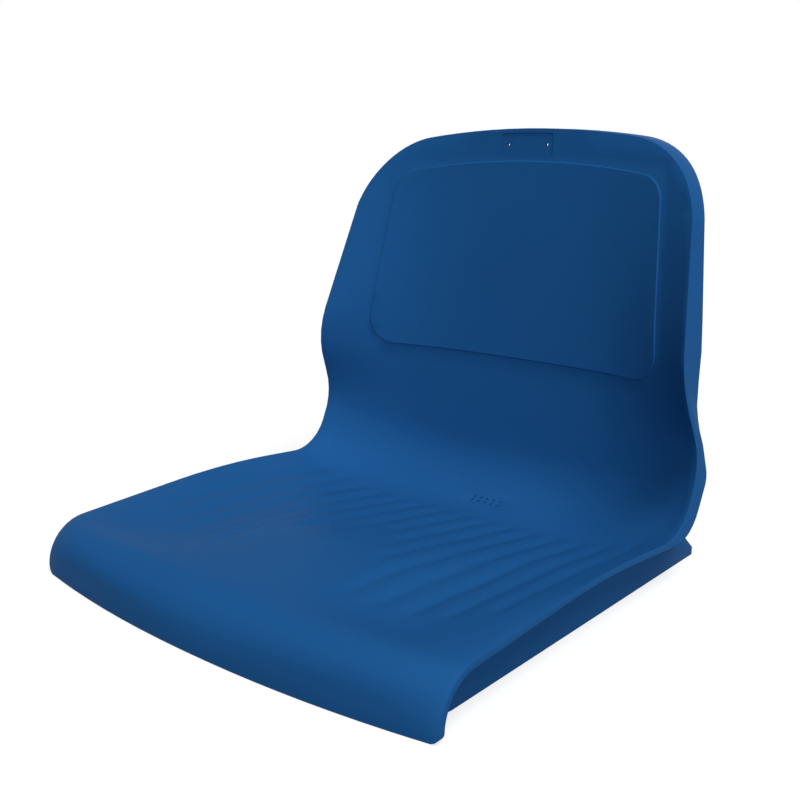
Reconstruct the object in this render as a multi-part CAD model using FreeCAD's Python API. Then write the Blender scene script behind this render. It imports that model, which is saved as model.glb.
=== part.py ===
import FreeCAD, Part
import math
import os

from FreeCAD import Vector

# A stadium seat: a moulded seat and back in one shell, screwed to a moulded base
# that is bolted to a rail or a step. Millimetres. The seat faces -Y, +Z is up,
# and the origin is on the mounting plane, under the middle of the seat.

# Width of the shell, which narrows up the back
HALF_WIDTH = 213.5
TAPER_START_Z = 118.0
TAPER_SLOPE = 0.152
TAPER_BLEND = 16.0

# Side profiles as (y, z, corner radius), from the front lip up to the top of the back.
# The middle of the seat is a low bowl. Its rim stays level and comes forward as side wings.
MIDDLE_PROFILE = (
    (-219.0, 0.0, 0.0),
    (-217.0, 47.5, 32.0),
    (-70.0, 43.5, 220.0),
    (176.0, 6.3, 60.0),
    (205.0, 392.0, 0.0),
)
RIM_PROFILE = (
    (-199.5, 0.0, 0.0),
    (-198.0, 42.0, 38.0),
    (0.0, 52.0, 900.0),
    (128.0, 41.0, 45.0),
    (154.5, 100.0, 55.0),
    (127.0, 168.0, 80.0),
    (200.0, 392.0, 0.0),
)
# Rear edge of the flange that runs round the rim
FLANGE_PROFILE = (
    (-194.5, 0.0, 0.0),
    (-193.0, 37.0, 33.0),
    (0.0, 46.8, 900.0),
    (146.0, 34.5, 38.0),
    (173.0, 84.0, 22.0),
    (156.0, 135.0, 60.0),
    (214.5, 392.0, 0.0),
)
WATERFALL_CORNER = 1
BEND_CORNER = 3

WALL = 4.6
FLANGE_WALL = 4.0
BEHIND = 15.0

# Outline of the back seen from the front
TOP_Z = 374.5
TOP_ARC_RADIUS = 830.0
TOP_CORNER_RADIUS = 88.0
LIP_CORNER_RADIUS = 8.0

# How squarely the shell's cross-section turns up at the rim, in each zone
LIP_POWER = 2.1
PAN_POWER = 5.0
BACK_POWER = 3.3

# Thigh hollows each side of the raised front middle of the seat
HOLLOW_DEPTH = 8.5
HOLLOW_CENTRE = 0.62
HOLLOW_REACH = 0.36

# Fore-and-aft grooves in the seat
GROOVE_PITCH = 25.7
GROOVE_DEPTH = 2.2
GROOVE_COUNT = 15
GROOVE_SHARPNESS = 1.6
GROOVE_REAR_Y = 104.0

# Raised panel on the back, seen from the front
PANEL_TOP_Z = 345.0
PANEL_BOTTOM_Z = 157.0
PANEL_HALF_TOP = 147.0
PANEL_HALF_BOTTOM = 166.0
PANEL_CORNER = 26.0
PANEL_RISE = 1.3
PANEL_BEVEL = 1.0

# Bare recess for a number plate, above the panel, with a hole at each end
PLATE_WIDTH = 58.0
PLATE_BOTTOM_Z = 348.0
PLATE_TOP_Z = 370.5
PLATE_DEPTH = 1.0
PLATE_CORNER = 2.0
PLATE_HOLE_SPACING = 43.0
PLATE_HOLE_Z = 359.5
PLATE_HOLE_RADIUS = 1.6

# Drain holes at the lowest part of the bowl
DRAIN_RADIUS = 1.5
DRAIN_PITCH = 7.4
DRAIN_COLUMNS = 5
DRAIN_ROW_YS = (144.4, 149.4)

# Ribs behind the bend
BEND_RIB_XS = (-150.0, -90.0, -30.0, 30.0, 90.0, 150.0)
BEND_RIB_THICKNESS = 2.6
BEND_RIB_DEPTH = 13.0
BEND_RIB_BOTTOM_Z = 46.0
BEND_RIB_TOP_Z = 125.0

# Base: walls under the seat, closed in front and by a sloping wall behind, open below
BASE_HALF_WIDTH = 193.0
BASE_WALL = 3.2
BASE_FRONT_Y = -172.0
BASE_REAR_Y = 196.5
BASE_REAR_HEIGHT = 7.0
BASE_REAR_SLOPE = 40.0
BASE_CORNER = 12.0
BASE_TOP_Z = 60.0
BASE_RIB = 2.6
BASE_RIB_BOTTOM_Z = 3.0
BASE_GAP = 0.2

# Threaded inserts, M8, in bosses at the corners of the mounting pattern
MOUNT_SPACING_X = 260.0
MOUNT_SPACING_Y = 180.0
MOUNT_BOSS_RADIUS = 11.0
MOUNT_BOSS_TOP_Z = 17.0
INSERT_RADIUS = 6.0
INSERT_LENGTH = 14.0
INSERT_THREAD_RADIUS = 3.4
INSERT_COLLAR_RADIUS = 7.5
INSERT_COLLAR = 1.2

# Screws from below, through a shelf in the base's towers into bosses of the shell
SCREW_SPACING_X = 130.0
SCREW_LENGTH = 10.0
SCREW_RADIUS = 1.9
SCREW_HEAD_RADIUS = 4.0
SCREW_HEAD = 2.6
SCREW_BOSS_RADIUS = 4.5
PILOT_SPARE = 0.4
SCREW_CLEARANCE = 0.3
HEAD_CLEARANCE = 0.6
TOWER_RADIUS = 8.0
TOWER_BORE_RADIUS = 5.2
TOWER_TOP_Z = 14.0
SHELF_Z = 4.0
SHELF = 3.0

# Stations of the shell's sections: lip, seat and back. A turn of a radian counts as
# this length, so that the sections stand closer together round the bends.
TURN_LENGTH = 90.0
LIP_STATIONS = 7
PAN_STATIONS = 24
BACK_STATIONS = 21


def smooth_step(value, start, end):
    """0 before start, 1 after end, smooth between."""
    share = min(1.0, max(0.0, (value - start) / (end - start)))
    return share * share * (3.0 - 2.0 * share)


def rounded_path(corners):
    """Points about 1 mm apart along lines with rounded corners, and each corner's middle."""
    points = [corners[0][:2]]
    middles = {}
    for index in range(1, len(corners) - 1):
        y, z, radius = corners[index]
        here = Vector(y, z, 0.0)
        back = (Vector(*corners[index - 1][:2], 0.0) - here).normalize()
        ahead = (Vector(*corners[index + 1][:2], 0.0) - here).normalize()
        half_angle = back.getAngle(ahead) / 2.0
        centre = here + (back + ahead).normalize() * (radius / math.sin(half_angle))
        first = here + back * (radius / math.tan(half_angle)) - centre
        last = here + ahead * (radius / math.tan(half_angle)) - centre
        start = math.atan2(first.y, first.x)
        turn = (math.atan2(last.y, last.x) - start + math.pi) % (2.0 * math.pi) - math.pi
        steps = 2 * max(2, round(abs(turn) * radius / 2.0))
        for step in range(steps + 1):
            angle = start + turn * step / steps
            if 2 * step == steps:
                middles[index] = len(points)
            points.append((centre.x + radius * math.cos(angle), centre.y + radius * math.sin(angle)))
    points.append(corners[-1][:2])
    return points, middles


def spaced_points(points, count):
    """count + 1 points along a chain of points, closer together where it turns."""
    marks = [0.0]
    for index in range(1, len(points)):
        step = math.dist(points[index - 1], points[index])
        turn = 0.0
        if index > 1:
            first = Vector(*points[index - 1], 0.0) - Vector(*points[index - 2], 0.0)
            second = Vector(*points[index], 0.0) - Vector(*points[index - 1], 0.0)
            turn = first.getAngle(second)
        marks.append(marks[-1] + step + TURN_LENGTH * turn)
    result = []
    at = 0
    for index in range(count + 1):
        goal = marks[-1] * index / count
        while at < len(points) - 2 and marks[at + 1] < goal:
            at += 1
        share = (goal - marks[at]) / (marks[at + 1] - marks[at])
        first, second = points[at], points[at + 1]
        result.append((first[0] + (second[0] - first[0]) * share, first[1] + (second[1] - first[1]) * share))
    return result


def profile_stations(corners):
    """A profile's points at the stations that all the profiles share."""
    points, middles = rounded_path(corners)
    waterfall, bend = middles[WATERFALL_CORNER], middles[BEND_CORNER]
    lip = spaced_points(points[: waterfall + 1], LIP_STATIONS)
    pan = spaced_points(points[waterfall : bend + 1], PAN_STATIONS)
    back = spaced_points(points[bend:], BACK_STATIONS)
    return lip + pan[1:] + back[1:]


MIDDLE = profile_stations(MIDDLE_PROFILE)
RIM = profile_stations(RIM_PROFILE)
FLANGE = profile_stations(FLANGE_PROFILE)
LAST = len(MIDDLE) - 1
PAN_START = LIP_STATIONS
PAN_END = LIP_STATIONS + PAN_STATIONS


def half_width(z):
    """Half the shell's width at the height of its rim."""
    return HALF_WIDTH - TAPER_SLOPE * TAPER_BLEND * math.log1p(math.exp((z - TAPER_START_Z) / TAPER_BLEND))


def section_power(station):
    """How squarely the cross-section turns up at this station."""
    front = smooth_step(station, 0, PAN_START + PAN_STATIONS * 0.1)
    rear = smooth_step(station, PAN_START + PAN_STATIONS * 0.45, PAN_END)
    return LIP_POWER + (PAN_POWER - LIP_POWER) * front + (BACK_POWER - PAN_POWER) * rear


def hollow(y, share):
    """Depth of the thigh hollow at a place on the seat."""
    across = (abs(share) - HOLLOW_CENTRE) / HOLLOW_REACH
    if abs(across) >= 1.0 or y > 60.0:
        return 0.0
    along = (1.0 - smooth_step(y, -70.0, 45.0)) * smooth_step(y, -192.0, -140.0)
    return HOLLOW_DEPTH * along * math.cos(across * math.pi / 2.0) ** 2


def groove(x, y):
    """Depth of the grooves at a place on the seat."""
    if abs(x) > GROOVE_PITCH * (GROOVE_COUNT / 2.0):
        return 0.0
    short = -8.0 - 150.0 * (abs(x) / 80.0) ** 1.7
    long = -146.0 + 0.0052 * (abs(x) - 95.0) ** 2
    front = max(short, long)
    along = smooth_step(y, front, front + 26.0) * (1.0 - smooth_step(y, GROOVE_REAR_Y, GROOVE_REAR_Y + 14.0))
    across = (1.0 + math.cos(2.0 * math.pi * x / GROOVE_PITCH)) / 2.0
    return GROOVE_DEPTH * along * across**GROOVE_SHARPNESS


def sitting_point(station, share, grooves):
    """A point of the surface that is sat on."""
    middle, rim = MIDDLE[station], RIM[station]
    rise = abs(share) ** section_power(station)
    x = share * half_width(rim[1])
    y = middle[0] + (rim[0] - middle[0]) * rise
    z = middle[1] + (rim[1] - middle[1]) * rise
    if station < PAN_END:
        z -= hollow(y, share)
        if grooves:
            z -= groove(x, y)
    return Vector(x, y, z)


def fine_shares():
    """Places across the shell, four to each groove, and a few more out to the rim."""
    quarter = GROOVE_PITCH / 4.0 / HALF_WIDTH
    count = 2 * GROOVE_COUNT
    middle = [quarter * index for index in range(-count, count + 1)]
    edge = [middle[-1] + (1.0 - middle[-1]) * step / 3.0 for step in (1, 2, 3)]
    return [-share for share in reversed(edge)] + middle + edge


def plain_shares():
    """Places across the shell where it has no grooves."""
    return [step / 10.0 - 1.0 for step in range(21)]


def sitting_grid(places, grooves=False):
    return [[sitting_point(station, share, grooves) for share in places] for station in range(LAST + 1)]


def moved_grid(grid, depth):
    """The grid moved away from the sitter, square to the surface in the side view."""
    moved = []
    for station, row in enumerate(grid):
        before = grid[max(0, station - 1)]
        after = grid[min(LAST, station + 1)]
        new_row = []
        for point, first, second in zip(row, before, after):
            run = (second - first).normalize()
            away = Vector(0.0, run.z, -run.y).normalize()
            new_row.append(point + away * depth(station, point.x / row[-1].x))
        moved.append(new_row)
    return moved


def level_grid(grid, depth):
    """The grid moved square to the surface by the same depth all over."""
    return moved_grid(grid, lambda station, share: depth)


def flange_grid(plain):
    """A grid through the rear edge of the flange, and well behind the wall between its two sides."""
    behind = moved_grid(plain, lambda station, share: 2.0 * WALL * (1.0 - share**8))
    steps = [Vector(0.0, rear[0] - rim[0], rear[1] - rim[1]) for rim, rear in zip(RIM, FLANGE)]
    return [[point + step for point in row] for step, row in zip(steps, behind)]


def narrowed(grid, wall):
    """The grid drawn in from both sides by the wall's thickness."""
    result = []
    for row in grid:
        scale = 1.0 - wall / row[-1].x
        result.append([Vector(point.x * scale, point.y, point.z) for point in row])
    return result


def with_level_ends(grid, foot_z):
    """The grid with its first row brought to the foot's height and its last to the profiles' top."""
    ends = {0: foot_z, LAST: MIDDLE_PROFILE[-1][1]}
    return [[Vector(point.x, point.y, ends.get(s, point.z)) for point in row] for s, row in enumerate(grid)]


def curve_through(points):
    curve = Part.BSplineCurve()
    curve.interpolate(points)
    return curve.toShape()


def solid_between(front_grid, rear_grid, foot_z=-2.0):
    """A ruled loft through closed sections, one at each station, between two grids."""
    sections = []
    for front, rear in zip(with_level_ends(front_grid, foot_z), with_level_ends(rear_grid, foot_z)):
        right = Part.makeLine(front[-1], rear[-1])
        left = Part.makeLine(rear[0], front[0])
        sections.append(Part.Wire([curve_through(front), right, curve_through(rear[::-1]), left]))
    return Part.makeLoft(sections, True, True)


def block(x0, x1, y0, y1, z0, z1):
    return Part.makeBox(x1 - x0, y1 - y0, z1 - z0, Vector(x0, y0, z0))


def post(radius, z0, z1, x, y):
    """An upright cylinder at a place in plan."""
    return Part.makeCylinder(radius, z1 - z0, Vector(x, y, z0))


def arc(centre, radius, start, end):
    """An arc in the front view, between two angles in radians."""
    angles = (start, (start + end) / 2.0, end)
    points = [Vector(centre[0] + radius * math.cos(a), 0.0, centre[1] + radius * math.sin(a)) for a in angles]
    return Part.Arc(*points).toShape()


def outline_prism(inset):
    """The shell's front-view outline, drawn in by inset and run through from front to rear.

    Its round corners pass a hair outside the sides, so that they cross them cleanly.
    """
    hair = 0.15
    far = 400.0
    corner = TOP_CORNER_RADIUS - inset
    top = TOP_ARC_RADIUS - inset
    top_centre_z = TOP_Z - TOP_ARC_RADIUS
    lean = math.sqrt(1.0 + TAPER_SLOPE**2)
    side = HALF_WIDTH + TAPER_SLOPE * TAPER_START_Z - inset - (corner - hair) * lean
    reach = top - corner
    half = side * TAPER_SLOPE + top_centre_z
    rest = half**2 - lean**2 * (side**2 + top_centre_z**2 - reach**2)
    centre_z = (half + math.sqrt(rest)) / lean**2
    centre_x = side - TAPER_SLOPE * centre_z
    side_angle = math.atan(TAPER_SLOPE)
    top_angle = math.atan2(centre_z - top_centre_z, centre_x)
    right = arc((centre_x, centre_z), corner, side_angle, top_angle)
    crown = arc((0.0, top_centre_z), top, top_angle, math.pi - top_angle)
    left = arc((-centre_x, centre_z), corner, math.pi - top_angle, math.pi - side_angle)
    foot_x = HALF_WIDTH - inset - LIP_CORNER_RADIUS + hair
    foot_z = LIP_CORNER_RADIUS - hair
    right_foot = arc((foot_x, foot_z), LIP_CORNER_RADIUS, -math.pi / 2.0, 0.0)
    left_foot = arc((-foot_x, foot_z), LIP_CORNER_RADIUS, math.pi, 1.5 * math.pi)
    start = right.Vertexes[0].Point
    ledge = Vector(far, 0.0, start.z)
    low = Vector(far, 0.0, foot_z)
    right_way = Part.makePolygon([right_foot.Vertexes[-1].Point, low, ledge, start])
    end = left.Vertexes[-1].Point
    left_low = Vector(-far, 0.0, foot_z)
    left_way = Part.makePolygon([end, Vector(-far, 0.0, end.z), left_low, left_foot.Vertexes[0].Point])
    right_end, left_end = right_foot.Vertexes[0].Point, left_foot.Vertexes[-1].Point
    under = Part.makePolygon([left_end, left_end - Vector(0, 0, 60), right_end - Vector(0, 0, 60), right_end])
    edges = [right, crown, left, right_foot, left_foot] + right_way.Edges + left_way.Edges + under.Edges
    wire = Part.Wire(Part.__sortEdges__(edges))
    face = Part.Face(wire)
    face.translate(Vector(0.0, -far, 0.0))
    return face.extrude(Vector(0.0, 2.0 * far, 0.0))


def crowned_prism(half_bottom, half_top, bottom_z, top_z, corner, y0, y1):
    """A prism along Y whose front-view outline has a top edge that follows the top of the back."""
    centre_z = top_z - TOP_ARC_RADIUS
    shoulder_z = centre_z + math.sqrt(TOP_ARC_RADIUS**2 - half_top**2)
    feet = [Vector(half_bottom, y0, bottom_z), Vector(-half_bottom, y0, bottom_z)]
    shoulders = [Vector(half_top, y0, shoulder_z), Vector(-half_top, y0, shoulder_z)]
    crown = Part.Arc(shoulders[0], Vector(0.0, y0, top_z), shoulders[1]).toShape()
    sides = Part.makePolygon([shoulders[1], feet[1], feet[0], shoulders[0]])
    prism = Part.Face(Part.Wire([crown] + sides.Edges)).extrude(Vector(0.0, y1 - y0, 0.0))
    upright = [edge for edge in prism.Edges if abs(edge.tangentAt(edge.FirstParameter).y) > 0.99]
    return prism.makeFillet(corner, upright)


def sitters_side(grid):
    """All that lies on the sitter's side of a grid."""
    reach = Vector(0.0, -150.0, 150.0)
    return solid_between([[point + reach for point in row] for row in grid], grid)


def back_panel(plain):
    """The raised panel of the back, with bevelled edges."""
    raised = level_grid(plain, -PANEL_RISE)
    sunk = level_grid(plain, WALL / 2.0)
    halves = (PANEL_HALF_BOTTOM, PANEL_HALF_TOP)
    outline = crowned_prism(*halves, PANEL_BOTTOM_Z, PANEL_TOP_Z, PANEL_CORNER, 60.0, 260.0)
    panel = solid_between(raised, sunk).common(outline)
    front = min(panel.Faces, key=lambda face: face.CenterOfMass.y - face.Area)
    return panel.makeChamfer(PANEL_BEVEL, front.Edges)


def plate_recess(plain):
    """What is cut away for the number plate and the two holes that would hold it."""
    above = level_grid(plain, -2.0 * PANEL_RISE)
    floor = level_grid(plain, PLATE_DEPTH)
    half = PLATE_WIDTH / 2.0
    outline = crowned_prism(half, half, PLATE_BOTTOM_Z, PLATE_TOP_Z, PLATE_CORNER, 150.0, 250.0)
    cutters = [solid_between(above, floor).common(outline)]
    for side in (-1.0, 1.0):
        start = Vector(side * PLATE_HOLE_SPACING / 2.0, 150.0, PLATE_HOLE_Z)
        cutters.append(Part.makeCylinder(PLATE_HOLE_RADIUS, 100.0, start, Vector(0.0, 1.0, 0.0)))
    return cutters


def drain_holes():
    holes = []
    for column in range(DRAIN_COLUMNS):
        x = (column - (DRAIN_COLUMNS - 1) / 2.0) * DRAIN_PITCH
        holes += [post(DRAIN_RADIUS, 5.0, 40.0, x, y) for y in DRAIN_ROW_YS]
    return holes


def bend_rib(x):
    """A fin behind the bend, cut from a side-view outline that follows the wall and swells out behind it."""
    column = [[sitting_point(s, x / half_width(RIM[s][1]), False)] for s in range(LAST + 1)]
    fin = [s for s in range(PAN_END, LAST) if BEND_RIB_BOTTOM_Z < MIDDLE[s][1] < BEND_RIB_TOP_Z]
    span = len(fin) - 1

    def depth(station, share):
        swell = math.sin(math.pi * (station - fin[0]) / span) if station in fin else 0.0
        return WALL + BEND_RIB_DEPTH * swell

    within, behind = level_grid(column, WALL / 2.0), moved_grid(column, depth)
    inner = [within[s][0] for s in fin]
    outer = [behind[s][0] for s in reversed(fin)]
    corners = [Vector(x - BEND_RIB_THICKNESS / 2.0, point.y, point.z) for point in inner + outer + inner[:1]]
    return Part.Face(Part.makePolygon(corners)).extrude(Vector(BEND_RIB_THICKNESS, 0.0, 0.0))


def mount_places():
    half_x, half_y = MOUNT_SPACING_X / 2.0, MOUNT_SPACING_Y / 2.0
    return [(x, y) for y in (-half_y, half_y) for x in (-half_x, half_x)]


def screw_places():
    """Two screws on each cross rib and one halfway along each long rib."""
    half_x, half_y = MOUNT_SPACING_X / 2.0, MOUNT_SPACING_Y / 2.0
    half = SCREW_SPACING_X / 2.0
    return [(x, y) for y in (-half_y, half_y) for x in (-half, half)] + [(-half_x, 0.0), (half_x, 0.0)]


def screw_pilots():
    """The blind holes that the screws bite into."""
    return [post(SCREW_RADIUS, 0.0, SHELF_Z + SCREW_LENGTH + PILOT_SPARE, x, y) for x, y in screw_places()]


def space_behind(plain, flange):
    """The open space behind the wall and inside the flange."""
    front = narrowed(level_grid(plain, WALL), FLANGE_WALL)
    rear = narrowed(level_grid(flange, BEHIND), FLANGE_WALL)
    return solid_between(front, rear).common(outline_prism(FLANGE_WALL))


def seat_shell():
    """A thick body with the space behind it taken out, but for the ribs and the screw bosses."""
    fine = sitting_grid(fine_shares(), grooves=True)
    plain = sitting_grid(plain_shares())
    flange = flange_grid(plain)
    pilots = screw_pilots()
    ribs = [bend_rib(x) for x in BEND_RIB_XS]
    bosses = [post(SCREW_BOSS_RADIUS, SHELF_Z + SHELF, BASE_TOP_Z, x, y) for x, y in screw_places()]
    in_the_wall = sitters_side(level_grid(plain, WALL - 1.0))
    body = solid_between(fine, flange, foot_z=0.0).common(outline_prism(0.0))
    body = body.fuse([back_panel(plain)] + ribs + [boss.cut(in_the_wall) for boss in bosses])
    body = body.cut(plate_recess(plain) + drain_holes())
    shell = body.cut(space_behind(plain, flange).cut(ribs + bosses))
    return shell.cut(pilots)


def side_profile(wall):
    """The base's side-view outline, drawn in by a wall's thickness, as a face at X = 0."""
    slope = math.radians(BASE_REAR_SLOPE)
    rise = BASE_TOP_Z + 1.0 - BASE_REAR_HEIGHT
    knee_z = BASE_REAR_HEIGHT - wall * math.tan((math.pi / 2.0 - slope) / 2.0)
    rear = BASE_REAR_Y - wall
    crest = rear - (BASE_REAR_HEIGHT + rise - knee_z) / math.tan(slope)
    corners = ((BASE_FRONT_Y + wall, 0.0), (rear, 0.0), (rear, knee_z), (crest, BASE_REAR_HEIGHT + rise))
    corners += ((BASE_FRONT_Y + wall, BASE_REAR_HEIGHT + rise),)
    return Part.Face(Part.makePolygon([Vector(0.0, y, z) for y, z in corners + corners[:1]]))


def base_block(wall):
    """The base's outer form, or with a wall's thickness taken off, the space inside it."""
    half = BASE_HALF_WIDTH - wall
    profile = side_profile(wall)
    profile.translate(Vector(-half, 0.0, 0.0))
    body = profile.extrude(Vector(2.0 * half, 0.0, 0.0))
    front = BASE_FRONT_Y + wall
    in_front = [edge for edge in body.Edges if abs(edge.CenterOfMass.y - front) < 0.1]
    upright = [edge for edge in in_front if abs(edge.tangentAt(edge.FirstParameter).z) > 0.99]
    return body.makeFillet(BASE_CORNER - wall, upright)


def base_frame():
    outside, inside = base_block(0.0), base_block(BASE_WALL)
    pieces = [outside.cut(inside)]
    half = BASE_RIB / 2.0
    low, high = BASE_RIB_BOTTOM_Z, BASE_TOP_Z
    xs = sorted({x for x, y in mount_places()})
    ys = sorted({y for x, y in mount_places()})
    ribs = [block(x - half, x + half, BASE_FRONT_Y, BASE_REAR_Y, low, high) for x in xs]
    ribs += [block(-BASE_HALF_WIDTH, BASE_HALF_WIDTH, y - half, y + half, low, high) for y in ys]
    pieces += [rib.common(outside) for rib in ribs]
    pieces += [post(MOUNT_BOSS_RADIUS, 0.0, MOUNT_BOSS_TOP_Z, x, y) for x, y in mount_places()]
    pieces += [post(TOWER_RADIUS, 0.0, TOWER_TOP_Z, x, y) for x, y in screw_places()]
    base = pieces[0].fuse(pieces[1:])
    bores = []
    for x, y in mount_places():
        bores.append(post(INSERT_COLLAR_RADIUS, -1.0, INSERT_COLLAR, x, y))
        bores.append(post(INSERT_RADIUS, -1.0, INSERT_LENGTH + 1.0, x, y))
    for x, y in screw_places():
        bores.append(post(SCREW_HEAD_RADIUS + HEAD_CLEARANCE, -1.0, SHELF_Z, x, y))
        bores.append(post(SCREW_RADIUS + SCREW_CLEARANCE, 0.0, SHELF_Z + SHELF + 1.0, x, y))
        bores.append(post(TOWER_BORE_RADIUS, SHELF_Z + SHELF, high + 1.0, x, y))
    under_shell = narrowed(level_grid(sitting_grid(plain_shares()), WALL + BASE_GAP), FLANGE_WALL)
    return base.cut(bores).cut(sitters_side(under_shell))


def turned(outline, x, y):
    """A body of revolution about an upright axis, from (radius, z) corners."""
    face = Part.Face(Part.makePolygon([Vector(r, 0.0, z) for r, z in outline + outline[:1]]))
    body = face.revolve(Vector(0.0, 0.0, 0.0), Vector(0.0, 0.0, 1.0), 360.0)
    body.translate(Vector(x, y, 0.0))
    return body


def threaded_inserts():
    outline = (
        (INSERT_THREAD_RADIUS, 0.0),
        (INSERT_COLLAR_RADIUS, 0.0),
        (INSERT_COLLAR_RADIUS, INSERT_COLLAR),
        (INSERT_RADIUS, INSERT_COLLAR),
        (INSERT_RADIUS, INSERT_LENGTH),
        (INSERT_THREAD_RADIUS, INSERT_LENGTH),
    )
    return Part.makeCompound([turned(outline, x, y) for x, y in mount_places()])


def shell_screws():
    tip = SHELF_Z + SCREW_LENGTH
    outline = (
        (0.0, SHELF_Z - SCREW_HEAD),
        (SCREW_HEAD_RADIUS * 0.75, SHELF_Z - SCREW_HEAD),
        (SCREW_HEAD_RADIUS, SHELF_Z - SCREW_HEAD * 0.5),
        (SCREW_HEAD_RADIUS, SHELF_Z),
        (SCREW_RADIUS, SHELF_Z),
        (SCREW_RADIUS, tip),
        (0.0, tip),
    )
    return Part.makeCompound([turned(outline, x, y) for x, y in screw_places()])


def main():
    os.makedirs("parts", exist_ok=True)
    nodes = {
        "seat_shell": seat_shell(),
        "base_frame": base_frame(),
        "threaded_inserts": threaded_inserts(),
        "shell_screws": shell_screws(),
    }
    for name, shape in nodes.items():
        shape.exportStep(f"parts/{name}.step")


if __name__ == "__main__":
    main()
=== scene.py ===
import math

import bpy
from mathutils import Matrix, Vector


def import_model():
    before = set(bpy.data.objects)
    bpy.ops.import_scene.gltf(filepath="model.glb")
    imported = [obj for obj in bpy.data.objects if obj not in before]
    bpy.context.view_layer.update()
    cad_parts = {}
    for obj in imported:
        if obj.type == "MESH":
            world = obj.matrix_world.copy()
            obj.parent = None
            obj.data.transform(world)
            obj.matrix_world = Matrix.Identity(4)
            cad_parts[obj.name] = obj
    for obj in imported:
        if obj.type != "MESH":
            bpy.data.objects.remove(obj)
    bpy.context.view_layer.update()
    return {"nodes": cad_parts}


# A blue moulded stadium seat, dressed over its CAD nodes. Metres, +Z up, the seat faces -Y.

# Camera, where the photograph was taken from
CAMERA_PLACE = (0.570, -0.661, 0.358)
CAMERA_AZIMUTH = math.radians(40.05)
CAMERA_PITCH = math.radians(-13.45)
CAMERA_REACH = 100.0
SENSOR = 36.0
LENS = 47.74

# Colours, as linear red, green, blue
SHELL_BLUE = (0.0125, 0.093, 0.277)
# Painted shade: the base is the shell's own plastic, its blue made darker for the shade under the
# shell's overhang
BASE_BLUE_PAINTED_SHADE = (0.0115, 0.083, 0.250)
BRASS = (0.60, 0.42, 0.16)
ZINC = (0.56, 0.57, 0.58)
WHITE = (1.0, 1.0, 1.0, 1.0)

# Plastic: its fine grain, its gloss, and the broad changes of its roughness and tone
GRAIN_SIZE = 0.0009
GRAIN_STRENGTH = 0.10
GRAIN_DEPTH = 0.0002
GLOSS = 0.012
PLASTIC_ROUGHNESS = (0.46, 0.54)
TONE_CHANGE = 0.06
BROAD_SCALE = 9.0

# Metal: roughness of each, and how far and how finely it varies
BRASS_ROUGHNESS = 0.32
ZINC_ROUGHNESS = 0.36
METAL_CHANGE = 0.08
METAL_SCALE = 900.0

# Sockets of a Mix node for colours, whose names are the same for each kind of value
MIX_FACTOR = 0
MIX_FIRST = 6
MIX_SECOND = 7
MIX_RESULT = 2

# Rounding of the mouldings' edges, and the turn up to which neighbouring facets are shaded as one
ROUNDED = ("seat_shell", "base_frame")
EDGE_ROUND = 0.0011
EDGE_STEPS = 2
EDGE_TURN = math.radians(55.0)
SMOOTH_TURN = math.radians(32.0)
# The number plate's recess, whose edges and holes stay crisp
PLATE_HALF = 0.031
PLATE_LOW = 0.345
WELD = 0.00001

# Light: wide suns above and at the front right, as (from, strength), and even grey light from
# all round. A surface that faces up gets nearly the light that renders a colour as written.
LAMPS = {
    "above": ((0.40, -0.14, 0.90), 2.00),
    "front_right": ((0.70, -0.64, 0.30), 1.20),
}
LAMP_SPREAD = math.radians(26.0)
WORLD_LIGHT = 0.18

# Floor: white to the camera, a pale grey to the light that bounces off it
FLOOR_HALF = 30.0
FLOOR_DROP = 0.0004
FLOOR_GREY = 0.38
FLOOR_GLOW = 0.70


class Nodes:
    """Short ways to add and join the nodes of a material, world or geometry tree."""

    def __init__(self, tree):
        self.tree = tree
        self.tree.nodes.clear()

    def add(self, kind, **values):
        node = self.tree.nodes.new(kind)
        for name, value in values.items():
            if name in node.inputs:
                node.inputs[name].default_value = value
            else:
                setattr(node, name, value)
        return node

    def join(self, start, end):
        self.tree.links.new(start, end)


def new_material(name):
    """A material, its empty node tree and the output node."""
    material = bpy.data.materials.new(name)
    material.use_nodes = True
    n = Nodes(material.node_tree)
    return material, n, n.add("ShaderNodeOutputMaterial")


def plastic(name, colour):
    """Satin polypropylene: a fine moulded grain, and faint, broad changes of tone and sheen."""
    material, n, output = new_material(name)
    shader = n.add("ShaderNodeBsdfPrincipled")
    shader.inputs["Specular IOR Level"].default_value = GLOSS
    place = n.add("ShaderNodeTexCoord")
    broad = n.add("ShaderNodeTexNoise", Scale=BROAD_SCALE, Detail=2.0)
    sheen = n.add("ShaderNodeMapRange")
    sheen.inputs["To Min"].default_value, sheen.inputs["To Max"].default_value = PLASTIC_ROUGHNESS
    n.join(place.outputs["Object"], broad.inputs["Vector"])
    n.join(broad.outputs["Fac"], sheen.inputs["Value"])
    n.join(sheen.outputs["Result"], shader.inputs["Roughness"])
    tone = n.add("ShaderNodeMix", data_type="RGBA")
    for socket, change in ((MIX_FIRST, -TONE_CHANGE), (MIX_SECOND, TONE_CHANGE)):
        tone.inputs[socket].default_value = (*(value * (1.0 + change) for value in colour), 1.0)
    n.join(broad.outputs["Fac"], tone.inputs[MIX_FACTOR])
    n.join(tone.outputs[MIX_RESULT], shader.inputs["Base Color"])
    fine = n.add("ShaderNodeTexNoise", Scale=1.0 / GRAIN_SIZE, Detail=3.0)
    bump = n.add("ShaderNodeBump", Strength=GRAIN_STRENGTH, Distance=GRAIN_DEPTH)
    n.join(place.outputs["Object"], fine.inputs["Vector"])
    n.join(fine.outputs["Fac"], bump.inputs["Height"])
    n.join(bump.outputs["Normal"], shader.inputs["Normal"])
    n.join(shader.outputs["BSDF"], output.inputs["Surface"])
    return material


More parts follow.
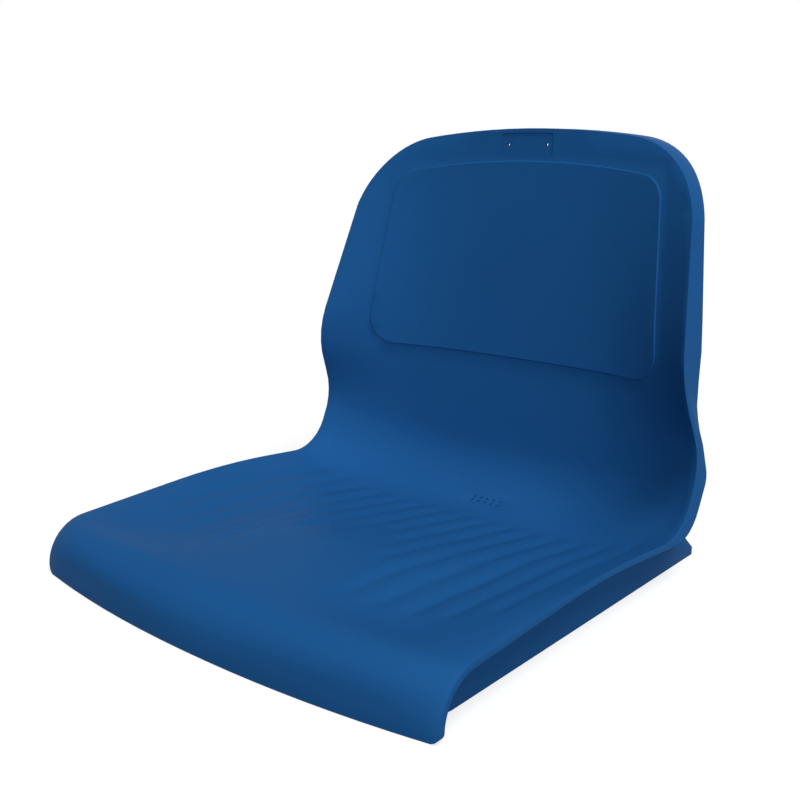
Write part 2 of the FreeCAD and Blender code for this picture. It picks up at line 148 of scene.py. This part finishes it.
def metal(name, colour, roughness):
    """Metal whose sheen varies finely all over."""
    material, n, output = new_material(name)
    shader = n.add("ShaderNodeBsdfPrincipled")
    shader.inputs["Base Color"].default_value = (*colour, 1.0)
    shader.inputs["Metallic"].default_value = 1.0
    place = n.add("ShaderNodeTexCoord")
    noise = n.add("ShaderNodeTexNoise", Scale=METAL_SCALE, Detail=2.0)
    spread = n.add("ShaderNodeMapRange")
    spread.inputs["To Min"].default_value = roughness - METAL_CHANGE
    spread.inputs["To Max"].default_value = roughness + METAL_CHANGE
    n.join(place.outputs["Object"], noise.inputs["Vector"])
    n.join(noise.outputs["Fac"], spread.inputs["Value"])
    n.join(spread.outputs["Result"], shader.inputs["Roughness"])
    n.join(shader.outputs["BSDF"], output.inputs["Surface"])
    return material


def seen_directly(n):
    """1 for rays from the camera, and for those that a reflection or clear material sends on."""
    ray = n.add("ShaderNodeLightPath")
    result = ray.outputs["Is Camera Ray"]
    for kind in ("Is Glossy Ray", "Is Transmission Ray"):
        result = maths(n, "MAXIMUM", result, ray.outputs[kind])
    return result


def white_behind(tree):
    """World: grey light on the object, white where the camera or a reflection sees it."""
    n = Nodes(tree)
    output = n.add("ShaderNodeOutputWorld")
    lit = n.add("ShaderNodeBackground", Color=WHITE, Strength=WORLD_LIGHT)
    white = n.add("ShaderNodeBackground", Color=WHITE, Strength=1.0)
    mix = n.add("ShaderNodeMixShader")
    n.join(seen_directly(n), mix.inputs["Fac"])
    n.join(lit.outputs["Background"], mix.inputs[1])
    n.join(white.outputs["Background"], mix.inputs[2])
    n.join(mix.outputs["Shader"], output.inputs["Surface"])


def floor_material():
    """White floor that keeps the object's shadow."""
    material, n, output = new_material("floor_white")
    matt = n.add("ShaderNodeBsdfDiffuse", Color=(FLOOR_GREY, FLOOR_GREY, FLOOR_GREY, 1.0))
    glow = n.add("ShaderNodeEmission", Color=WHITE)
    both = n.add("ShaderNodeAddShader")
    n.join(maths(n, "MULTIPLY", seen_directly(n), FLOOR_GLOW), glow.inputs["Strength"])
    n.join(matt.outputs["BSDF"], both.inputs[0])
    n.join(glow.outputs["Emission"], both.inputs[1])
    n.join(both.outputs["Shader"], output.inputs["Surface"])
    return material


def add_floor():
    """A wide floor just under the seat, as part of the stage and not of the object."""
    bpy.ops.mesh.primitive_plane_add(size=2.0 * FLOOR_HALF, location=(0.0, 0.0, -FLOOR_DROP))
    floor = bpy.context.object
    floor.name = "floor"
    floor.data.materials.append(floor_material())


def add_lamps():
    """The suns of LAMPS, each turned to shine from its own way."""
    for name, (from_way, strength) in LAMPS.items():
        lamp = bpy.data.lights.new(name, "SUN")
        lamp.energy = strength
        lamp.angle = LAMP_SPREAD
        holder = bpy.data.objects.new(name, lamp)
        bpy.context.scene.collection.objects.link(holder)
        holder.rotation_euler = Vector(from_way).to_track_quat("Z", "Y").to_euler()


def add_camera():
    """The photograph's camera."""
    data = bpy.data.cameras.new("camera")
    data.sensor_width = SENSOR
    data.lens = LENS
    data.clip_end = CAMERA_REACH
    camera = bpy.data.objects.new("camera", data)
    bpy.context.scene.collection.objects.link(camera)
    camera.location = CAMERA_PLACE
    camera.rotation_euler = (math.pi / 2.0 + CAMERA_PITCH, 0.0, CAMERA_AZIMUTH)
    bpy.context.scene.camera = camera


def geometry_tree(name):
    """An empty geometry node tree with its input and output."""
    tree = bpy.data.node_groups.new(name, "GeometryNodeTree")
    tree.interface.new_socket("Geometry", in_out="INPUT", socket_type="NodeSocketGeometry")
    tree.interface.new_socket("Geometry", in_out="OUTPUT", socket_type="NodeSocketGeometry")
    n = Nodes(tree)
    return tree, n, n.add("NodeGroupInput"), n.add("NodeGroupOutput")


def maths(n, operation, *values):
    """A math node on sockets or numbers, and its result."""
    node = n.add("ShaderNodeMath", operation=operation)
    for place, value in enumerate(values):
        if isinstance(value, float):
            node.inputs[place].default_value = value
        else:
            n.join(value, node.inputs[place])
    return node.outputs["Value"]


def rounding_tree():
    """Geometry nodes that mark the edges to round: all sharp ones but those of the plate's recess."""
    tree, n, start, end = geometry_tree("edges_to_round")
    turn = n.add("GeometryNodeInputMeshEdgeAngle").outputs["Unsigned Angle"]
    place = n.add("ShaderNodeSeparateXYZ")
    n.join(n.add("GeometryNodeInputPosition").outputs["Position"], place.inputs["Vector"])
    below = maths(n, "LESS_THAN", place.outputs["Z"], PLATE_LOW)
    beside = maths(n, "GREATER_THAN", maths(n, "ABSOLUTE", place.outputs["X"]), PLATE_HALF)
    outside = maths(n, "MAXIMUM", below, beside)
    sharp = maths(n, "GREATER_THAN", turn, EDGE_TURN)
    store = n.add("GeometryNodeStoreNamedAttribute", data_type="FLOAT", domain="EDGE")
    store.inputs["Name"].default_value = "bevel_weight_edge"
    n.join(start.outputs["Geometry"], store.inputs["Geometry"])
    n.join(maths(n, "MULTIPLY", sharp, outside), store.inputs["Value"])
    n.join(store.outputs["Geometry"], end.inputs["Geometry"])
    return tree


def shading_tree():
    """Geometry nodes that shade facets as one surface, but for edges that turn more than SMOOTH_TURN."""
    tree, n, start, end = geometry_tree("shade_by_turn")
    plain = n.add("GeometryNodeRemoveAttribute", Name="custom_normal")
    faces = n.add("GeometryNodeSetShadeSmooth", domain="FACE")
    edges = n.add("GeometryNodeSetShadeSmooth", domain="EDGE")
    edges.inputs["Shade Smooth"].default_value = False
    turn = n.add("GeometryNodeInputMeshEdgeAngle")
    sharp = n.add("FunctionNodeCompare", data_type="FLOAT", operation="GREATER_THAN")
    sharp.inputs[1].default_value = SMOOTH_TURN
    n.join(turn.outputs["Unsigned Angle"], sharp.inputs[0])
    n.join(sharp.outputs["Result"], edges.inputs["Selection"])
    n.join(start.outputs["Geometry"], plain.inputs["Geometry"])
    n.join(plain.outputs["Geometry"], faces.inputs[0])
    n.join(faces.outputs[0], edges.inputs[0])
    n.join(edges.outputs[0], end.inputs["Geometry"])
    return tree


def soften(node, rounding, shading):
    """Modifiers that join a node's facets, round its sharp edges and shade it smoothly."""
    weld = node.modifiers.new("weld", "WELD")
    weld.merge_threshold = WELD
    if rounding:
        node.modifiers.new("edges_to_round", "NODES").node_group = rounding
        bevel = node.modifiers.new("edge_round", "BEVEL")
        bevel.width = EDGE_ROUND
        bevel.segments = EDGE_STEPS
        bevel.limit_method = "WEIGHT"
        bevel.use_clamp_overlap = True
    smooth = node.modifiers.new("shading", "NODES")
    smooth.node_group = shading


def dress(frame):
    """Gives each CAD node its material, and the modifiers of soften."""
    materials = {
        "seat_shell": plastic("shell_plastic", SHELL_BLUE),
        "base_frame": plastic("base_plastic", BASE_BLUE_PAINTED_SHADE),
        "threaded_inserts": metal("insert_brass", BRASS, BRASS_ROUGHNESS),
        "shell_screws": metal("screw_steel", ZINC, ZINC_ROUGHNESS),
    }
    rounding = rounding_tree()
    shading = shading_tree()
    for name, material in materials.items():
        node = frame["nodes"][name]
        for slot in node.material_slots:
            slot.material = material
        soften(node, rounding if name in ROUNDED else None, shading)


def main():
    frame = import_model()
    scene = bpy.context.scene
    scene.view_settings.view_transform = "Standard"
    scene.world = scene.world or bpy.data.worlds.new("world")
    scene.world.use_nodes = True
    white_behind(scene.world.node_tree)
    dress(frame)
    add_floor()
    add_lamps()
    add_camera()


main()
